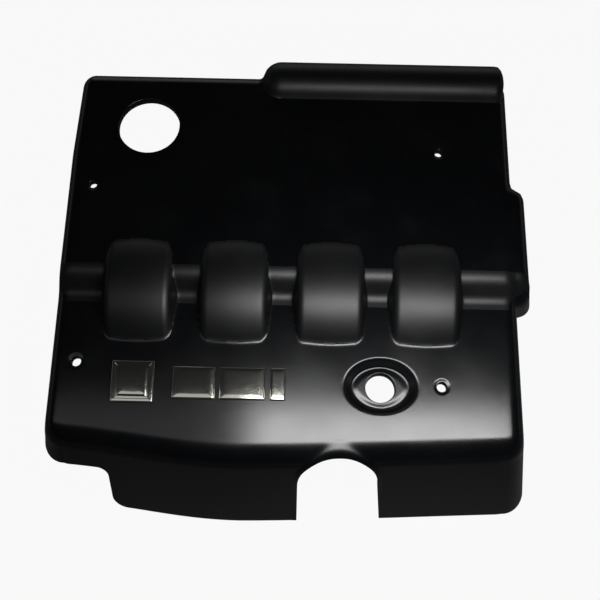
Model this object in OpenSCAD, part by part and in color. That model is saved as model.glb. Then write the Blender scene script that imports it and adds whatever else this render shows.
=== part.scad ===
/* [Cover] */
// Width from the left rim to the side lobe
cover_w = 469; // [462:1:476]
// Length from the front skirt to the back of the bulge
cover_l = 448; // [440:1:460]
// Height of the rear plate over the lower rim
rear_z = 112; // [108:0.5:118]
// Height of the front plate at the foot of the step
front_z = 93; // [88:0.5:97]
// Thickness of the moulded wall
wall = 3; // [2:0.1:3.6]
// Height of the cut-away side rims over the lower rim
side_rim_z = 53; // [45:1:60]
// How far the right wall stands inside the side lobe
right_inset = 6; // [4:0.5:10]
// How far the rear wall stands inside the back of the bulge
rear_inset = 5; // [3:0.5:8]

/* [Walls and edges] */
// Lean of the side walls from upright
side_draft = 10; // [6:0.5:12]
// Place along the length behind which the left wall closes in
kink_y = 120; // [100:1:140]
// Angle at which the left wall closes in there
kink_angle = 2.2; // [0:0.1:4]
// Lean of the rear wall from upright
rear_draft = 4; // [2:0.5:8]
// Lean of the front skirt from upright
skirt_lean = 27; // [22:0.5:32]
// Fall of the front plate towards the skirt in degrees
plate_fall = 2.4; // [1:0.1:4]
// Radius between the front plate and the skirt
front_r = 28; // [27:0.5:30]
// Radius round the rear and the side edges of the plates
edge_r = 14; // [10:0.5:16]
// Radius of the front corners of the skirt
corner_r = 22; // [16:0.5:22]
// Where the skirt reaches furthest forward, from the middle
bow_x = -50; // [-70:1:-30]
// How far the left end of the skirt sweeps back
bow_left = 17; // [10:0.5:24]
// How far the right end of the skirt sweeps back
bow_right = 13; // [6:0.5:18]

/* [Step] */
// Place of the foot of the step along the length
step_y = -22.5; // [-28:0.5:-16]
// Slope of the step in degrees
step_slope = 54; // [45:1:65]
// Radius at the foot of the step
step_foot_r = 4; // [2:0.5:6]
// Radius at the top of the step
step_top_r = 6; // [4:0.5:9]

/* [Humps] */
// Number of humps
hump_count = 4; // [3:1:4]
// Spacing of the humps, as the cylinders below
hump_pitch = 91; // [84:0.5:94]
// Middle of the row of humps
hump_x = -12.5; // [-16:0.5:-9]
// Radius of the drum that each hump is a part of
hump_r = 81; // [78:0.5:84]
// Place of the crest of the humps along the length
hump_y = -8; // [-12:0.5:-4]
// Height of the crest over the rear plate
hump_rise = 7; // [5:0.5:9]
// Width over the crest of a hump
hump_w = 59; // [54:0.5:64]
// Radius of the shoulders of a hump
hump_shoulder_r = 5; // [4:0.5:7]
// Lean of the flanks of a hump from upright
hump_draft = 15; // [8:1:20]

/* [Rear bulge] */
// Radius of the rolled bulge
bulge_r = 20; // [17:0.5:23]
// Height of the bulge over the rear plate
bulge_rise = 18; // [14:0.5:19]
// Middle of the round left end of the bulge
bulge_left_x = -18.5; // [-24:0.5:-10]
// Where the right end of the bulge begins to round off
bulge_right_x = 198.5; // [190:0.5:200]
// Length of the round left end of the bulge
bulge_nose = 20; // [14:0.5:24]
// Length of the rounding at the right end of the bulge
bulge_tail = 9; // [6:0.5:10]

/* [Side lobe] */
// Radius of the rounded lobe
lobe_r = 14; // [12:0.5:16]
// Middle of the front end of the lobe along the length
lobe_front_y = -12; // [-20:1:-8]
// Middle of the rear end of the lobe along the length
lobe_rear_y = 79; // [70:1:90]
// Lean of the lobe's wall from upright
lobe_lean = 13; // [8:0.5:15]

/* [Oil filler hole] */
// Bore of the large round hole
filler_d = 61; // [54:0.5:64]
// Middle of the large hole, in from the left and in from the back of the cover
filler_in = [84, 74.5]; // [70:0.5:90]
// Depth of the collar round the large hole
filler_depth = 9; // [6:0.5:14]

/* [Dipstick eye] */
// Length of the eye at the plate
eye_w = 72; // [66:1:76]
// Height of the eye at the plate
eye_h = 55; // [50:1:58]
// Length of the floor of the eye
eye_floor_w = 53; // [48:1:58]
// Height of the floor of the eye
eye_floor_h = 34; // [32:1:40]
// Depth of the floor of the eye
eye_depth = 8; // [6:0.5:10]
// Middle of the eye across the width
eye_x = 81.5; // [78:0.5:86]
// Middle of the eye along the length
eye_y = -109; // [-114:0.5:-104]
// Bore of the hole in the eye
dip_d = 28; // [22:0.5:30]
// Depth of the collar round that hole
dip_depth = 6; // [4:0.5:10]

/* [Arch] */
// Radius of the arch in the skirt
arch_r = 37.5; // [34:0.5:39]
// Middle of the arch across the width
arch_x = 43; // [38:0.5:48]
// Height of the middle of the arch
arch_z = 51; // [44:0.5:52]
// How far the right side of the arch leans out at the rim
arch_lean = 6; // [0:0.5:8]
// Width of the raised hood round the arch
hood_w = 6; // [5:0.5:8]
// Height of the hood over the skirt
hood_lift = 5; // [3:0.5:7]
// Distance from the front of the skirt to the rear end of the hood
hood_l = 66; // [60:1:74]

/* [Skirt notch] */
// Distance from the left of the cover to the deep part of the skirt
notch_in = 61; // [54:0.5:68]
// Radius in the corner of the notch
notch_r = 10; // [6:0.5:14]
// Radius of the free lower corner of the skirt
notch_toe_r = 14; // [8:0.5:18]

/* [Fixings] */
// Bore of the front fixing holes
fix_front_d = 9.5; // [8:0.1:11]
// Bore of the rear fixing holes
fix_rear_d = 8; // [6.5:0.1:9]
// Diameter of the dished seat round a fixing hole
fix_seat_d = 17; // [14:0.5:19]
// Depth of that seat
fix_seat_depth = 1.5; // [1:0.1:2]
// Outer diameter of the tube under a fixing hole
fix_boss_d = 20; // [19:0.5:24]
// Reach of that tube below the plate
fix_boss_depth = 9; // [6:0.5:14]
// Front left fixing: in from the left of the cover, and its place along the length
fix_front_left = [30, -91]; // [-120:0.5:40]
// Place of the front right fixing
fix_front_right = [138.5, -108.5]; // [-120:0.5:150]
// Rear left fixing: in from the left and in from the back of the cover
fix_rear_left = [34, 141]; // [24:0.5:150]
// Rear right fixing: its place across the width, and in from the back of the cover
fix_rear_right = [139, 99]; // [90:0.5:150]

/* [Plated trim] */
// Side of the square plate
badge_w = 40; // [34:0.5:42]
// Distance from the left of the cover to the middle of the square plate
badge_in = 84.5; // [80:0.5:90]
// Middle of the row of trim along the length
trim_y = -109.5; // [-114:0.5:-104]
// Length of each trim block in the row
bar_w = [40, 42, 14]; // [10:1:44]
// Distance from the middle of the square plate to the middle of each trim block
bar_step = [57, 102.5, 135.5]; // [50:0.5:140]
// Height of the trim blocks as seen from above
bar_h = 31; // [26:0.5:34]
// Thickness of the square plate and the blocks
trim_t = 3; // [2.5:0.1:4]
// Depth of the pockets that the trim is bonded in
pocket_depth = 1; // [0.6:0.1:1.5]
// Gap between the trim and the side of its pocket
pocket_gap = 0.5; // [0.2:0.1:1]
// Width of the bevel round the trim
trim_bevel = 1.2; // [0.8:0.1:1.6]

/* [Ribs and rear notches] */
// Thickness of the ribs under the plates
rib_t = 2; // [1.5:0.1:3]
// Depth of the ribs below the plates
rib_depth = 8; // [4:0.5:10]
// Number of lengthwise ribs
rib_count = 3; // [2:1:4]
// Distance from the top of the step to the front end of the ribs
rib_from_step = 40; // [30:1:60]
// Distance from the large round hole to the rear end of the ribs
rib_from_filler = 15; // [10:1:30]
// Distance from each side of the cover to the ends of the cross rib
cross_rib_in = 60; // [50:1:80]
// Width of the notches in the rear edge
edge_slot_w = 2; // [1:0.1:3]
// Distances from the left of the cover to the notches in the rear edge
edge_slot_in = [126, 192]; // [84:0.5:200]

/* [Hidden] */
$fn = 64;
through = 1;
arc_n = 4;
span_n = 8;
round_n = 5;
roll_inset = 0.6;
rim_gap = 0.4;
rear_leg = 50;
left_x = -cover_w / 2 - side_rim_z * tan(side_draft);
right_x = cover_w / 2 - right_inset;
front_y = -cover_l / 2;
back_y = cover_l / 2 - rear_inset;
bulge_y = cover_l / 2 - bulge_r;
bulge_z = rear_z + bulge_rise - bulge_r;
lobe_high = rear_z - lobe_r - 3;
lobe_x = cover_w / 2 - lobe_r + roll_inset - (lobe_high - side_rim_z) * tan(lobe_lean);
hump_z = rear_z + hump_rise - hump_r;
hood_y = front_y + hood_l;
filler_x = filler_in[0] - cover_w / 2;
filler_y = cover_l / 2 - filler_in[1];
notch_x = notch_in - cover_w / 2;
badge_x = badge_in - cover_w / 2;
fixings = [
    [[fix_front_left[0] - cover_w / 2, fix_front_left[1]], fix_front_d],
    [fix_front_right, fix_front_d],
    [[fix_rear_left[0] - cover_w / 2, cover_l / 2 - fix_rear_left[1]], fix_rear_d],
    [[fix_rear_right[0], cover_l / 2 - fix_rear_right[1]], fix_rear_d]
];

// Surface height of the front plate and of the whole top at a place
function front_top(y) = front_z + (y - step_y) * tan(plate_fall);
function top_at(y) = y < step_y ? front_top(y) : rear_z;

// How far the skirt sweeps back at a place across the width
function bow(x) = x < bow_x
    ? bow_left * (1 - cos(180 * min(1, (bow_x - x) / (bow_x - left_x)))) / 2
    : bow_right * pow((x - bow_x) / (right_x - bow_x), 1.3);

// A line is a point and a direction, and its inside lies to the right
function right_of(a) = [sin(a), -cos(a)];
function inset(line, t) = [line[0] + t * right_of(line[1]), line[1]];
function cross2(a, b) = a[0] * b[1] - a[1] * b[0];
function dir(a) = [cos(a), sin(a)];
function meet(l, m) =
    l[0] + dir(l[1]) * cross2(m[0] - l[0], dir(m[1])) / cross2(dir(l[1]), dir(m[1]));
function at_height(l, z) = let (p = l[0] + dir(l[1]) * (z - l[0][1]) / sin(l[1])) [p[0], p[1], l[1]];

// Nodes of a rounded corner between two lines, each with its direction
function rounded(l, m, r) = let (
        s = m[1] < l[1] ? 1 : -1,
        start = meet(l, m) - dir(l[1]) * r * tan(abs(m[1] - l[1]) / 2),
        c = start + s * r * right_of(l[1])
    ) [for (k = [0:arc_n]) let (
        a = l[1] + (m[1] - l[1]) * k / arc_n,
        p = c - s * r * right_of(a)
    ) [p[0], p[1], a]];

// The step keeps its outline where it runs out over the side edges
function level(nodes) = [for (v = nodes) [v[0], v[1], 0]];

// Side view of the moulding at a place across the width, from front rim to rear rim
function side_view(x, t, z0) = let (
        skirt = inset([[front_y + bow(x), 0], 90 - skirt_lean], t),
        front = inset([[step_y, front_z], plate_fall], t),
        step = inset([[step_y, front_z], step_slope], t),
        rear = inset([[0, rear_z], 0], t),
        back = inset([[back_y, 0], rear_draft - 90], t)
    ) concat(
        [at_height(skirt, z0)],
        rounded(skirt, front, front_r - t),
        level(rounded(front, step, step_foot_r + t)),
        level(rounded(step, rear, step_top_r - t)),
        [[kink_y, rear_z - t, 0]],
        rounded(rear, back, edge_r - t),
        [at_height(back, z0)]
    );

// Radius of the side edge, which widens from that of the plates to the corners of the skirt
function side_radius(a, t) = edge_r + (corner_r - edge_r) * max(0, a) / (90 - skirt_lean) - t;

// A node swung round the side edge by an angle, slid along the wall where it passes the rim
function swung(v, a, t, z0) = let (
        r = side_radius(v[2], t),
        y = v[0] + r * sin(v[2]) * (1 - sin(a)),
        z = v[1] - r * cos(v[2]) * (1 - sin(a))
    ) v[1] <= z0 || z < z0 ? [y + (z0 - z) / tan(v[2]), z0] : [y, z];

// Place of the side wall at a height, counted inward from the rim
function wall_in(z, t) = z * tan(side_draft) + t / cos(side_draft);
function edge_centre(v, t, z0) =
    wall_in(swung(v, side_draft, t, z0)[1], t) + side_radius(v[2], t) * cos(side_draft);

// How far the left wall closes in behind its kink
function closed_in(y) = max(0, y - kink_y) * tan(kink_angle);

// One side of the moulding: the rim and the rounded edge, side = 1 for left
function side_points(view, x, side, t, z0) = let (
        shift = [for (v = view) side > 0 ? closed_in(v[0]) : 0],
        last = len(view) - 1
    ) concat(
        [[for (j = [0:last]) let (p = swung(view[j], side_draft, t, z0))
            [x + shift[j] + side * wall_in(z0, t), p[0], z0]]],
        [for (k = [0:arc_n]) let (a = side_draft + (90 - side_draft) * k / arc_n)
            [for (j = [0:last]) let (v = view[j], p = swung(v, a, t, z0))
                [x + shift[j] + side * (edge_centre(v, t, z0) - side_radius(v[2], t) * cos(a)),
                    p[0], p[1]]]]
    );

// Stations across the width between the two rounded edges
function middle_points(left, right, t, z0) = [for (k = [1:span_n - 1]) let (
        f = k / span_n,
        view = side_view(left_x + corner_r + f * (right_x - left_x - 2 * corner_r), t, z0)
    ) [for (j = [0:len(view) - 1])
        [left[j][0] + f * (right[j][0] - left[j][0]), view[j][0], view[j][1]]]];

function reversed(list) = [for (k = [len(list) - 1:-1:0]) list[k]];

function stations(t, z0) = let (
        left = side_points(side_view(left_x + corner_r, t, z0), left_x, 1, t, z0),
        right = side_points(side_view(right_x - corner_r, t, z0), right_x, -1, t, z0)
    ) concat(left, middle_points(left[len(left) - 1], right[len(right) - 1], t, z0), reversed(right));

// The closed body of the moulding, set in by t and standing on the height z0
module body_form(t, z0) {
    grid = stations(t, z0);
    ni = len(grid) - 1;
    nj = len(grid[0]) - 1;
    function id(i, j) = let (
            end = j == 0 || j == nj,
            k = end && i == 0 ? 1 : end && i == ni ? ni - 1 : i
        ) k * (nj + 1) + j;
    skin = [for (i = [0:ni - 1]) for (j = [0:nj - 1])
        each [[id(i, j), id(i, j + 1), id(i + 1, j + 1)], [id(i, j), id(i + 1, j + 1), id(i + 1, j)]]];
    rim = concat(
        [for (i = [1:ni - 1]) id(i, 0)], [for (j = [1:nj - 1]) id(ni, j)],
        [for (i = [ni - 1:-1:1]) id(i, nj)], [for (j = [nj - 1:-1:1]) id(0, j)]
    );
    hub = (ni + 1) * (nj + 1);
    floor_fan = [for (k = [0:len(rim) - 1]) [hub, rim[k], rim[(k + 1) % len(rim)]]];
    polyhedron(
        concat([for (column = grid) each column], [[0, 0, z0]]),
        concat([for (f = skin) if (f[0] != f[1] && f[1] != f[2] && f[2] != f[0]) f], floor_fan)
    );
}

// A drum lying across the cover with rounded shoulders and leaning flanks
module hump(x, t) {
    r = hump_r - t;
    half = hump_w / 2 - t / cos(hump_draft);
    s = hump_shoulder_r - min(t, hump_shoulder_r - 1);
    core = hump_r / 2;
    turn = 90 - hump_draft;
    flank = (r - s - core + s * sin(hump_draft)) * tan(hump_draft);
    shoulder = [for (k = [0:arc_n]) let (a = 90 - turn * k / arc_n)
        [r - s + s * sin(a), half - s + s * cos(a)]];
    outline = concat(shoulder, [[core, half - s + s * cos(hump_draft) + flank]]);
    translate([x, hump_y, hump_z]) rotate([0, 90, 0]) rotate([0, 0, 180]) rotate_extrude($fn = 128)
        polygon(concat([[0, outline[arc_n + 1][1]]], reversed(outline),
            [for (p = outline) [p[0], -p[1]]], [[0, -outline[arc_n + 1][1]]]));
}

module humps(t) {
    first = hump_x - hump_pitch * (hump_count - 1) / 2;
    intersection() {
        for (k = [0:hump_count - 1]) hump(first + k * hump_pitch, t);
        translate([left_x, front_y, front_z - 15]) cube([cover_w, cover_l, hump_r]);
    }
}

// A roll lying along x, turned about its own axis, with rounded ends of given lengths
module roll(length, r, nose, tail) {
    function end(side, e) = [for (k = [0:round_n]) let (a = 90 * k / round_n)
        [r * cos(a), side * (length / 2 + e * sin(a))]];
    rotate([0, 90, 0]) rotate_extrude() polygon(concat(end(1, tail), reversed(end(-1, nose))));
}

// The wall below a roll, an outline with round ends that widens downward by a flare
module roll_wall(length, r, h, flare, nose, tail) {
    bottom = [length / 2 + max(nose, tail) + flare, r + flare];
    linear_extrude(h, slices = 1, scale = [1 - flare / bottom[0], 1 - flare / bottom[1]])
        polygon([for (side = [1, -1]) for (k = [0:2 * round_n]) let (
            a = 90 * (k / round_n - side),
            e = side > 0 ? tail : nose
        ) [side * length / 2 + (e + flare) * cos(a), bottom[1] * sin(a)]]);
}

// The rolled bulge along the rear edge, down to the rim
module bulge(t, z0) {
    length = bulge_right_x - bulge_left_x;
    translate([(bulge_left_x + bulge_right_x) / 2, bulge_y, 0]) {
        translate([0, 0, bulge_z]) roll(length, bulge_r - t, bulge_nose - t, bulge_tail - t);
        translate([0, 0, z0]) roll_wall(length, bulge_r - roll_inset - t, bulge_z - z0, 0,
            bulge_nose - roll_inset - t, bulge_tail - roll_inset - t);
    }
}

// The lobe on the right wall, high behind the step and low before it, with one leaning wall
module lobe(t, z0) {
    low = front_top(lobe_front_y) - lobe_r - 2;
    r = lobe_r - t;
    for (part = [[step_y + 26, lobe_rear_y, lobe_high], [lobe_front_y, lobe_rear_y - lobe_r, low]])
        translate([lobe_x + (lobe_high - part[2]) * tan(lobe_lean), (part[0] + part[1]) / 2, 0])
            rotate([0, 0, 90]) {
            length = part[1] - part[0];
            h = part[2] - z0;
            translate([0, 0, part[2]]) roll(length, r, r, r);
            translate([0, 0, z0]) roll_wall(length, r - roll_inset, h, h * tan(lobe_lean),
                r - roll_inset, r - roll_inset);
        }
}

// The hood over the arch, which follows the skirt at a distance
module hood(t) {
    view = side_view(arch_x, t - hood_lift, 0);
    n = arc_n + 1;
    last = view[n];
    intersection() {
        translate([arch_x - arch_r - hood_w, 0, 0]) rotate([90, 0, 90])
            linear_extrude(2 * (arch_r + hood_w))
                polygon(concat([for (k = [0:n]) [view[k][0], view[k][1]]],
                    [[hood_y - t, last[1]], [hood_y - t, 0]]));
        translate([arch_x, 0, arch_z]) rotate([90, 0, 0])
            cylinder(r = arch_r + hood_w - t, h = cover_l / 2, $fn = 96);
    }
}

module outer_form(t, z0) {
    body_form(t, z0);
    humps(t);
    bulge(t, z0 + rim_gap);
    lobe(t, z0 + rim_gap);
}

// An oval dish that narrows downward
module dish(w, h, floor_w, floor_h, depth) {
    rotate([180, 0, 0]) linear_extrude(depth, slices = 1, scale = [floor_w / w, floor_h / h])
        polygon([for (k = [0:39]) [w / 2 * cos(9 * k), h / 2 * sin(9 * k)]]);
}

module at_eye(z) {
    translate([eye_x, eye_y, front_top(eye_y)]) rotate([plate_fall, 0, 0])
        translate([0, 0, z]) children();
}

module at_dip_hole(z) {
    translate([eye_x, eye_y, front_top(eye_y) - eye_depth + z]) children();
}

module at_filler(z) {
    translate([filler_x, filler_y, rear_z + z]) children();
}

// Tubes and collars that hang under the plates
module under_parts() {
    for (f = fixings)
        translate([f[0][0], f[0][1], top_at(f[0][1]) - fix_boss_depth])
            cylinder(d = fix_boss_d, h = fix_boss_depth - wall / 2);
    at_filler(-filler_depth) cylinder(d = filler_d + 2 * wall, h = filler_depth - wall / 2);
    at_eye(-wall / 2) dish(eye_w + wall, eye_h + wall, eye_floor_w + 2 * wall,
        eye_floor_h + 2 * wall, eye_depth + wall / 2);
    at_dip_hole(-wall - dip_depth) cylinder(d = dip_d + 2 * wall, h = dip_depth + wall / 2);
    ribs();
}

module ribs() {
    half = (rear_z - front_z) / tan(step_slope);
    low = rear_z - wall - rib_depth;
    start = step_y + half + rib_from_step;
    for (k = [1:rib_count])
        translate([left_x + k * cover_w / (rib_count + 1) - rib_t / 2, start, low])
            cube([rib_t, filler_y - filler_d / 2 - rib_from_filler - start, rib_depth + wall / 2]);
    translate([left_x + cross_rib_in, start, low])
        cube([cover_w - 2 * cross_rib_in, rib_t, rib_depth + wall / 2]);
}

// Everything that is taken out of the finished form
module openings() {
    for (f = fixings) translate([f[0][0], f[0][1], top_at(f[0][1])]) {
        translate([0, 0, -fix_boss_depth - through])
            cylinder(d = f[1], h = fix_boss_depth + 2 * through);
        translate([0, 0, -fix_seat_depth]) cylinder(d = fix_seat_d, h = fix_seat_depth + through);
    }
    at_filler(-filler_depth - through) cylinder(d = filler_d, h = filler_depth + 2 * through);
    at_eye(0.01) dish(eye_w, eye_h, eye_floor_w, eye_floor_h, eye_depth);
    at_dip_hole(-wall - dip_depth - through)
        cylinder(d = dip_d, h = dip_depth + wall + 3 * through);
    arch_cut();
    rim_cuts();
    for (x = edge_slot_in)
        translate([x - cover_w / 2 - edge_slot_w / 2, back_y - edge_r, rear_z - 2.5])
            cube([edge_slot_w, edge_r, 5]);
    at_trim(badge_x) pocket(badge_w, badge_w);
    for (k = [0:2]) at_trim(badge_x + bar_step[k]) pocket(bar_w[k], bar_h);
}

module arch_cut() {
    translate([arch_x, hood_y - wall, arch_z]) rotate([90, 0, 0]) cylinder(r = arch_r, h = cover_l / 2);
    translate([arch_x, hood_y - wall, 0]) rotate([90, 0, 0]) linear_extrude(cover_l / 2) polygon([
        [-arch_r, arch_z], [-arch_r, -through], [arch_r + arch_lean, -through], [arch_r, arch_z]
    ]);
}

// The left half and the right side end on a higher rim than the skirt and the bulge
module rim_cuts() {
    deep = side_rim_z + through;
    half = notch_x - left_x + through;
    translate([left_x - through, cover_l, 0]) rotate([90, 0, 0]) linear_extrude(2 * cover_l) {
        translate([0, -through]) square([half - notch_r, deep]);
        translate([0, -through]) square([half, deep - notch_r]);
        translate([half - notch_r, side_rim_z - notch_r]) circle(notch_r);
        translate([half, -through]) difference() {
            square([notch_toe_r, notch_toe_r + through]);
            translate([notch_toe_r, notch_toe_r + through]) circle(notch_toe_r);
        }
    }
    translate([left_x, back_y - 2 * edge_r, -through])
        cube([bulge_left_x - bulge_nose - edge_r - left_x, 4 * edge_r, deep]);
    translate([right_x - corner_r - wall, -cover_l / 4, -through])
        cube([cover_w, 3 * cover_l / 4 - rear_leg, deep]);
}

// Moves to a place in the row of trim, on the slope of the front plate
module at_trim(x) {
    translate([x, trim_y, front_top(trim_y)]) rotate([plate_fall, 0, 0]) children();
}

module pocket(w, h) {
    translate([-w / 2 - pocket_gap, -h / 2 - pocket_gap, -pocket_depth])
        cube([w + 2 * pocket_gap, h + 2 * pocket_gap, pocket_depth + through]);
}

module cover_shell() {
    color("#17181a") difference() {
        union() {
            difference() {
                union() {
                    outer_form(0, 0);
                    hood(0);
                }
                union() {
                    outer_form(wall, -through);
                    hood(wall);
                }
            }
            under_parts();
        }
        openings();
    }
}

// A bevelled block that stands in a pocket
module trim_block(w, h) {
    translate([0, 0, -pocket_depth]) {
        translate([-w / 2, -h / 2, 0]) cube([w, h, trim_t - trim_bevel]);
        translate([0, 0, trim_t - trim_bevel]) linear_extrude(trim_bevel, slices = 1,
            scale = [(w - 2 * trim_bevel) / w, (h - 2 * trim_bevel) / h]) square([w, h], center = true);
    }
}

module badge_plate() {
    color("#9a9b90") at_trim(badge_x) trim_block(badge_w, badge_w);
}

module bar(k) {
    color("#9a9b90") at_trim(badge_x + bar_step[k]) trim_block(bar_w[k], bar_h);
}

cover_shell();
badge_plate();
bar(0);  // trim_block_left
bar(1);  // trim_block_middle
bar(2);  // trim_block_right
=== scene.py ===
# %% [markdown]
# # A moulded engine cover
#
# This lesson builds the looks of a black plastic cover that sits on top of a
# four-cylinder engine. The frame of solids is already exact, so every shape here
# follows the same sizes, and only adds what a moulding tool gives for free: soft
# fillets in the corners, rounded lips at the holes, grain and a little dust.
#
# The sizes of the cover are given in millimetres, and one factor turns them into
# the metres that Blender works in. The stage, the lamps and the distance of the
# camera are given in metres.

# %% Load the frame
import math

import bmesh
import bpy
import numpy as np
from mathutils import Matrix, Vector


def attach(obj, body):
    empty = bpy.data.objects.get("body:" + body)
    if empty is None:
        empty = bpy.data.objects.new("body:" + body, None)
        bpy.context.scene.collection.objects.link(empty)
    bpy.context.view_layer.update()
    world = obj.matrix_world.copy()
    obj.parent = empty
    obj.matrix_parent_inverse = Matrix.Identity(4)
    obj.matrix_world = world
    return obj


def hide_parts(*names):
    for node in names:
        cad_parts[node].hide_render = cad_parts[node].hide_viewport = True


MM = 0.001
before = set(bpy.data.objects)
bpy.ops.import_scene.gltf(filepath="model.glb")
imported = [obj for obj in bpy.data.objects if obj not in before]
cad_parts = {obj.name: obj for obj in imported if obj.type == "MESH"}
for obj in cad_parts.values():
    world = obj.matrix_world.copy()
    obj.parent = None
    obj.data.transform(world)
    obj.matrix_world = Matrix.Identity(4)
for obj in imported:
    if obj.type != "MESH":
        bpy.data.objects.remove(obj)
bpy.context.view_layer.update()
print("solids:", sorted(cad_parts))

# %% [markdown]
# ## The sizes of the moulding
#
# A designer draws the side view first: a leaning skirt, a front plate that falls
# a little, a step, and a level rear plate. The same values shape the solid.

# %% Main sizes
COVER_W, COVER_L = 469.0, 448.0
REAR_Z, FRONT_Z = 112.0, 93.0
WALL = 3.0
SIDE_RIM_Z = 53.0
RIGHT_INSET, REAR_INSET = 6.0, 5.0
SIDE_DRAFT, REAR_DRAFT = math.radians(10.0), math.radians(4.0)
SKIRT_LEAN, PLATE_FALL = math.radians(27.0), math.radians(2.4)
FRONT_R, EDGE_R, CORNER_R = 28.0, 14.0, 22.0
KINK_Y, KINK = 120.0, math.radians(2.2)
BOW_X, BOW_LEFT, BOW_RIGHT = -50.0, 17.0, 13.0
LEFT_X = -COVER_W / 2 - SIDE_RIM_Z * math.tan(SIDE_DRAFT)
RIGHT_X = COVER_W / 2 - RIGHT_INSET
FRONT_Y, BACK_Y = 0.2 - COVER_L / 2, COVER_L / 2 - REAR_INSET
print(f"walls from x {LEFT_X:.1f} to {RIGHT_X:.1f} mm at the rim plane")

# %% Step, humps, bulge and lobe
STEP_Y, STEP_SLOPE = -22.5, math.radians(54.0)
STEP_FOOT_R, STEP_TOP_R = 13.0, 17.0
HUMP_X = [-12.5 + 91.0 * (k - 1.5) for k in range(4)]
HUMP_R, HUMP_Y, HUMP_RISE = 81.0, -8.0, 7.0
HUMP_HALF, SHOULDER_R, FLANK = 59.0 / 2, 5.0, math.radians(15.0)
HUMP_Z = REAR_Z + HUMP_RISE - HUMP_R
BULGE_R, BULGE_NOSE, BULGE_TAIL = 20.0, 20.0, 9.0
BULGE_LEFT, BULGE_RIGHT = -18.5, 198.5
BULGE_Y, BULGE_Z = COVER_L / 2 - BULGE_R - 0.1, REAR_Z + 17.95 - BULGE_R
LOBE_R, LOBE_LEAN = 14.0, math.radians(13.0)
LOBE_FRONT, LOBE_REAR, LOBE_HIGH_FRONT, LOBE_DROP = -12.0, 79.0, 3.5, 18.0
LOBE_BELOW, LOBE_INWARD, LOBE_EASE = 3, 40, 3   # under the rear plate, into the cover, at its lower end
LOBE_Z = REAR_Z - LOBE_R - LOBE_BELOW
LOBE_X = COVER_W / 2 - LOBE_R - (LOBE_Z - SIDE_RIM_Z) * math.tan(LOBE_LEAN)
ARCH_HALF, ARCH_X, ARCH_Z, ARCH_LEAN = (37.5, 32.2), 43.0, 51.0, 6.0
ARCH_SQUARE = 2.35   # 2 would be a half circle; a higher number gives fuller shoulders
COLLAR_W, COLLAR_RISE, ARCH_BACK = 3.6, 1.7, -161.0
COLLAR_FADE = 50.0   # the collar dies away downward over this height
COLLAR_EDGE = 1.4    # width of its rounded edge
HUMP_CROWN = 1.6     # how far a hump's middle stands over its shoulders
EYE_X, EYE_Y, EYE_DEPTH = 81.5, -109.0, 8.0
EYE_HALF, EYE_LENS, EYE_WALL, EYE_PAD = (36.0, 27.5), (27.5, 19.5), 8.0, 0.9
EYE_ALMOND = 1.7     # 2 would be an ellipse; a lower number draws its ends out
EYE_PAD_EDGE = 5.0   # width of the slope round the pad
print("humps at x", HUMP_X)

# %% [markdown]
# ## The side view as rows of points
#
# Each row of the mesh is one place on the side view: a point and the direction
# in which the skin faces there. Corners are true arcs, because a highlight runs
# along each of them and shows any flat at once.


# %% Arcs between two lines
def direction(a):
    return np.array([np.cos(a), np.sin(a)])


def right_of(a):
    return np.array([np.sin(a), -np.cos(a)])


def arc(corner, a0, a1, radius, count):
    """Points (y, z, angle) of a rounded corner between the directions a0 and a1."""
    side = 1 if a1 < a0 else -1
    centre = corner - direction(a0) * radius * math.tan(abs(a1 - a0) / 2) + side * radius * right_of(a0)
    return [(*(centre - side * radius * right_of(a)), a) for a in np.linspace(a0, a1, count)]


def front_top(y):
    return FRONT_Z + (y - STEP_Y) * math.tan(PLATE_FALL)


print("front plate", round(front_top(-160), 1), "to", FRONT_Z, "mm high")


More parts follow.
